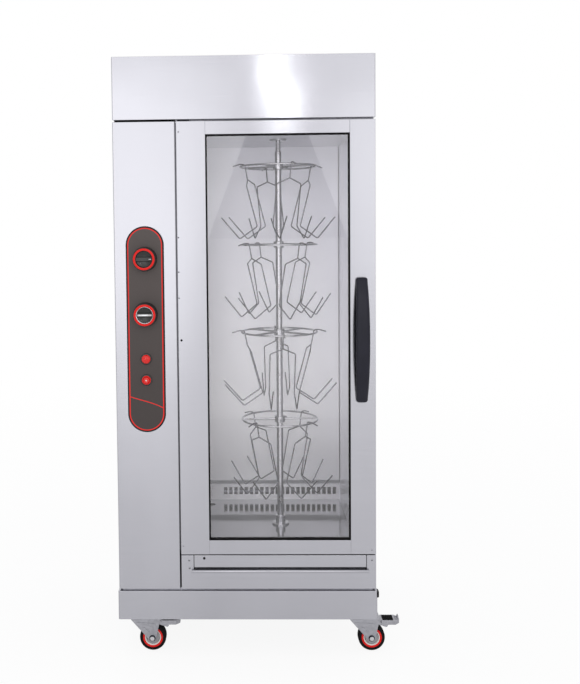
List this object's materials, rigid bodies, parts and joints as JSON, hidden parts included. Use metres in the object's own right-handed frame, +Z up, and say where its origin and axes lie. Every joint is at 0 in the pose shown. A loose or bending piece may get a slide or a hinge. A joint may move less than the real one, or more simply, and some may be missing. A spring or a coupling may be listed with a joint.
{
  "type": "vertical rotisserie",
  "caption": "Upright rotisserie cabinet on braked casters: glazed door, turning tiers of hanging wire forks, side control panel with knobs, and a drip drawer under the chamber.",
  "frame": {"origin": "on the floor, under the middle of the cabinet", "axes": "+Z up, -Y out of the front with the door, +X to the right of a person facing the front"},
  "size_m": [0.86, 0.668, 1.815],
  "materials": {
    "satin_steel": "satin brushed",
    "chamber_steel": "dull brushed",
    "bright_wire": "polished wire",
    "black_plastic": "satin black",
    "element_sheath": "heat darkened",
    "insulation_wool": "mineral wool",
    "motor_paint": "grey enamel",
    "panel_grey": "printed foil",
    "red_lens": "clear red",
    "red_trim": "gloss red",
    "tempered_glass": "clear",
    "black_rubber": "matt",
    "zinc_steel": "zinc plated",
    "caster_tyre": "grey-black rubber"
  },
  "bodies": {
    "cabinet": {"plinth": "satin_steel", "control_column_cover": "satin_steel", "header_cap": "satin_steel", "left_side_panel": "satin_steel", "right_side_panel": "satin_steel", "back_panel": "satin_steel", "front_frame": "satin_steel", "lower_front_rail": "satin_steel", "chamber_back_wall": "chamber_steel", "chamber_right_wall": "chamber_steel", "chamber_ceiling": "chamber_steel", "chamber_floor": "chamber_steel", "heater_reflector": "chamber_steel", "back_baffle": "chamber_steel", "drawer_runners": "chamber_steel", "door_pivots": "chamber_steel", "rotor_bearings": "bright_wire", "cable_gland": "black_plastic", "heating_elements": "element_sheath", "insulation": "insulation_wool", "gear_motor": "motor_paint", "control_plate": "panel_grey", "control_bodies": "black_plastic", "pilot_lights": "red_lens", "caster_plates": "zinc_steel"},
    "door": {"door_left_stile": "satin_steel", "door_right_stile": "satin_steel", "door_top_rail": "satin_steel", "door_bottom_rail": "satin_steel", "door_glass": "tempered_glass", "glazing_gasket": "black_rubber", "door_seal": "black_rubber", "door_handle": "black_plastic"},
    "drawer": {"drawer_front": "satin_steel", "drip_pan": "chamber_steel"},
    "rotor": {"rotor_shaft": "bright_wire", "tier_ring_1": "bright_wire", "tier_ring_2": "bright_wire", "tier_ring_3": "bright_wire", "tier_ring_4": "bright_wire", "tier_forks_1": "bright_wire", "tier_forks_2": "bright_wire", "tier_forks_3": "bright_wire", "tier_forks_4": "bright_wire"},
    "knob_upper": {"knob_upper": "black_plastic", "knob_ring_upper": "red_trim"},
    "knob_lower": {"knob_lower": "black_plastic", "knob_ring_lower": "red_trim"},
    "button": {"push_button": "red_lens"},
    "swivel_front_left": {"caster_fork_front_left": "zinc_steel"},
    "wheel_front_left": {"caster_wheel_front_left": "caster_tyre"},
    "swivel_front_right": {"caster_fork_front_right": "zinc_steel"},
    "wheel_front_right": {"caster_wheel_front_right": "caster_tyre"},
    "swivel_back_left": {"caster_fork_back_left": "zinc_steel"},
    "wheel_back_left": {"caster_wheel_back_left": "caster_tyre"},
    "swivel_back_right": {"caster_fork_back_right": "zinc_steel"},
    "wheel_back_right": {"caster_wheel_back_right": "caster_tyre"},
    "brake_front_left": {"brake_pedal_front_left": "zinc_steel"},
    "brake_front_right": {"brake_pedal_front_right": "zinc_steel"}
  },
  "joints": [
    {"name": "door_hinge", "type": "hinge", "parent": "cabinet", "child": "door", "pos_m": [-0.194, -0.2935, 0.97], "axis": [0, 0, -1], "range_deg": [0, 110]},
    {"name": "drawer_slide", "type": "slide", "parent": "cabinet", "child": "drawer", "axis": [0, -1, 0], "range_m": [0, 0.38]},
    {"name": "rotor_spin", "type": "hinge", "parent": "cabinet", "child": "rotor", "pos_m": [0.114, -0.02, 0.95], "axis": [0, 0, 1], "continuous": true},
    {"name": "knob_upper_turn", "type": "hinge", "parent": "cabinet", "child": "knob_upper", "pos_m": [-0.2975, -0.32, 1.216], "axis": [0, 1, 0], "range_deg": [0, 300]},
    {"name": "knob_lower_turn", "type": "hinge", "parent": "cabinet", "child": "knob_lower", "pos_m": [-0.2975, -0.32, 1.05], "axis": [0, 1, 0], "range_deg": [0, 270]},
    {"name": "button_press", "type": "slide", "parent": "cabinet", "child": "button", "axis": [0, 1, 0], "range_m": [0, 0.003], "stiffness_N_per_m": 400},
    {"name": "swivel_front_left_turn", "type": "hinge", "parent": "cabinet", "child": "swivel_front_left", "pos_m": [-0.338, -0.245, 0.1], "axis": [0, 0, 1], "continuous": true},
    {"name": "wheel_front_left_roll", "type": "hinge", "parent": "swivel_front_left", "child": "wheel_front_left", "pos_m": [-0.294, -0.245, 0.041], "axis": [0, 1, 0], "continuous": true},
    {"name": "brake_front_left_tip", "type": "hinge", "parent": "swivel_front_left", "child": "brake_front_left", "pos_m": [-0.291, -0.245, 0.0962], "axis": [0, 1, 0], "range_deg": [0, 12]},
    {"name": "swivel_front_right_turn", "type": "hinge", "parent": "cabinet", "child": "swivel_front_right", "pos_m": [0.338, -0.245, 0.1], "axis": [0, 0, 1], "continuous": true},
    {"name": "wheel_front_right_roll", "type": "hinge", "parent": "swivel_front_right", "child": "wheel_front_right", "pos_m": [0.382, -0.245, 0.041], "axis": [0, 1, 0], "continuous": true},
    {"name": "brake_front_right_tip", "type": "hinge", "parent": "swivel_front_right", "child": "brake_front_right", "pos_m": [0.385, -0.245, 0.0962], "axis": [0, 1, 0], "range_deg": [0, 12]},
    {"name": "swivel_back_left_turn", "type": "hinge", "parent": "cabinet", "child": "swivel_back_left", "pos_m": [-0.338, 0.245, 0.1], "axis": [0, 0, 1], "continuous": true},
    {"name": "wheel_back_left_roll", "type": "hinge", "parent": "swivel_back_left", "child": "wheel_back_left", "pos_m": [-0.294, 0.245, 0.041], "axis": [0, 1, 0], "continuous": true},
    {"name": "swivel_back_right_turn", "type": "hinge", "parent": "cabinet", "child": "swivel_back_right", "pos_m": [0.338, 0.245, 0.1], "axis": [0, 0, 1], "continuous": true},
    {"name": "wheel_back_right_roll", "type": "hinge", "parent": "swivel_back_right", "child": "wheel_back_right", "pos_m": [0.382, 0.245, 0.041], "axis": [0, 1, 0], "continuous": true}
  ]
}
